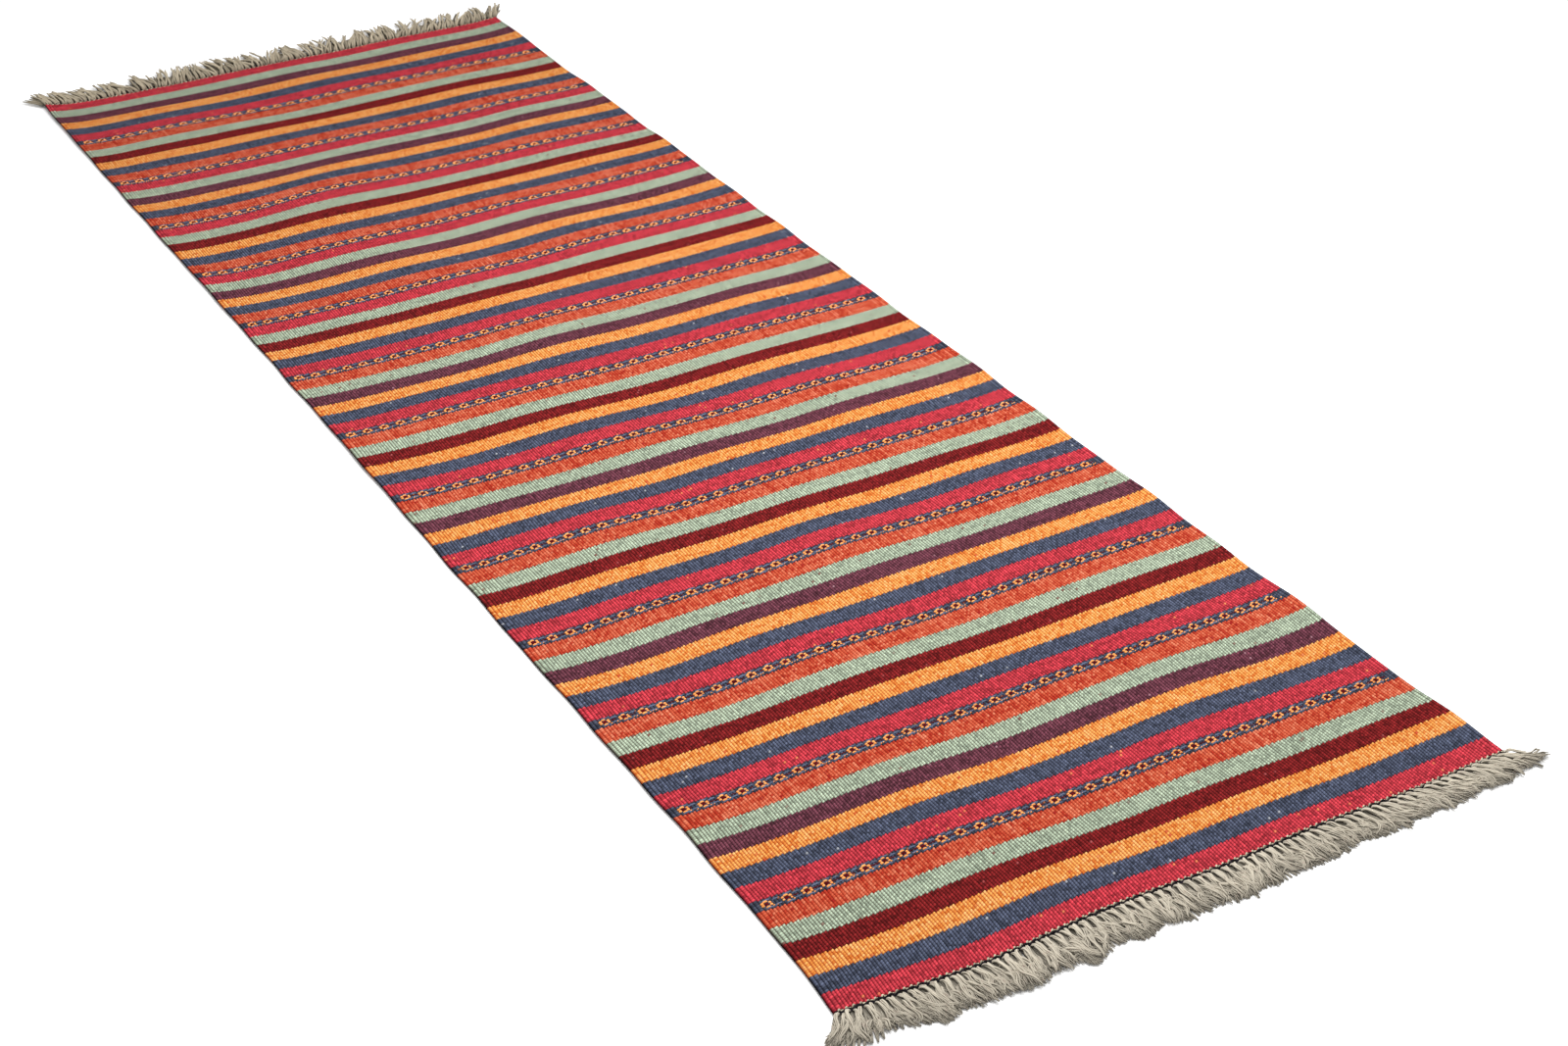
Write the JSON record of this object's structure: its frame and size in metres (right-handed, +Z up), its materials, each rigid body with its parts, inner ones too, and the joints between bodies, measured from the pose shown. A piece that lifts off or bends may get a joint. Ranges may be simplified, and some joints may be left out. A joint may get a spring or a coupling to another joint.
{
  "type": "runner rug",
  "caption": "Flat-woven wool runner rug with cross stripes, narrow rosette bands and a wool fringe at both ends, lying flat.",
  "frame": {"origin": "centre of the underside, where the rug rests on the floor", "axes": "+X across the rug along the wefts, +Y along the rug from the near end to the far end, +Z up"},
  "size_m": [0.8488, 2.5488, 0.0084],
  "materials": {
    "crimson_yarn": "dyed hand-spun wool weft, matt, slightly fuzzy",
    "coral_yarn": "dyed hand-spun wool weft, matt, slightly fuzzy",
    "navy_yarn": "dyed hand-spun wool weft, matt, slightly fuzzy",
    "orange_yarn": "dyed hand-spun wool weft, matt, slightly fuzzy",
    "green_yarn": "dyed hand-spun wool weft, matt, slightly fuzzy",
    "maroon_yarn": "dyed hand-spun wool weft, matt, slightly fuzzy",
    "purple_yarn": "dyed hand-spun wool weft, matt, slightly fuzzy",
    "ring_yarn": "dyed hand-spun wool weft, matt, slightly fuzzy",
    "centre_yarn": "dyed hand-spun wool weft, matt, slightly fuzzy",
    "undyed_wool": "plied undyed wool, matt",
    "fringe_wool": "loose unspun ends of the wool warps, soft and matt",
    "cream_twine": "plied cream wool, matt",
    "black_twine": "plied near-black wool, matt"
  },
  "bodies": {
    "root": {"crimson_band_01": "crimson_yarn", "crimson_band_02": "crimson_yarn", "crimson_band_03": "crimson_yarn", "crimson_band_04": "crimson_yarn", "crimson_band_05": "crimson_yarn", "crimson_band_06": "crimson_yarn", "crimson_band_07": "crimson_yarn", "crimson_band_08": "crimson_yarn", "crimson_band_09": "crimson_yarn", "crimson_band_10": "crimson_yarn", "crimson_band_11": "crimson_yarn", "crimson_band_12": "crimson_yarn", "crimson_band_13": "crimson_yarn", "crimson_band_14": "crimson_yarn", "crimson_band_15": "crimson_yarn", "coral_band_01": "coral_yarn", "coral_band_02": "coral_yarn", "coral_band_03": "coral_yarn", "coral_band_04": "coral_yarn", "coral_band_05": "coral_yarn", "coral_band_06": "coral_yarn", "coral_band_07": "coral_yarn", "coral_band_08": "coral_yarn", "coral_band_09": "coral_yarn", "coral_band_10": "coral_yarn", "coral_band_11": "coral_yarn", "coral_band_12": "coral_yarn", "coral_band_13": "coral_yarn", "rosette_band_01": "navy_yarn", "rosette_band_02": "navy_yarn", "rosette_band_03": "navy_yarn", "rosette_band_04": "navy_yarn", "rosette_band_05": "navy_yarn", "rosette_band_06": "navy_yarn", "rosette_band_07": "navy_yarn", "rosette_band_08": "navy_yarn", "rosette_band_09": "navy_yarn", "rosette_band_10": "navy_yarn", "rosette_band_11": "navy_yarn", "rosette_band_12": "navy_yarn", "rosette_band_13": "navy_yarn", "navy_bands": "navy_yarn", "orange_bands": "orange_yarn", "green_bands": "green_yarn", "maroon_bands": "maroon_yarn", "purple_bands": "purple_yarn", "rosette_rings": "ring_yarn", "rosette_centres": "centre_yarn", "warp_threads": "undyed_wool", "left_selvage_cords": "undyed_wool", "right_selvage_cords": "undyed_wool", "near_cream_twining": "cream_twine", "near_black_twining": "black_twine", "near_fringe_bunches": "fringe_wool", "far_cream_twining": "cream_twine", "far_black_twining": "black_twine", "far_fringe_bunches": "fringe_wool"}
  },
  "joints": []
}
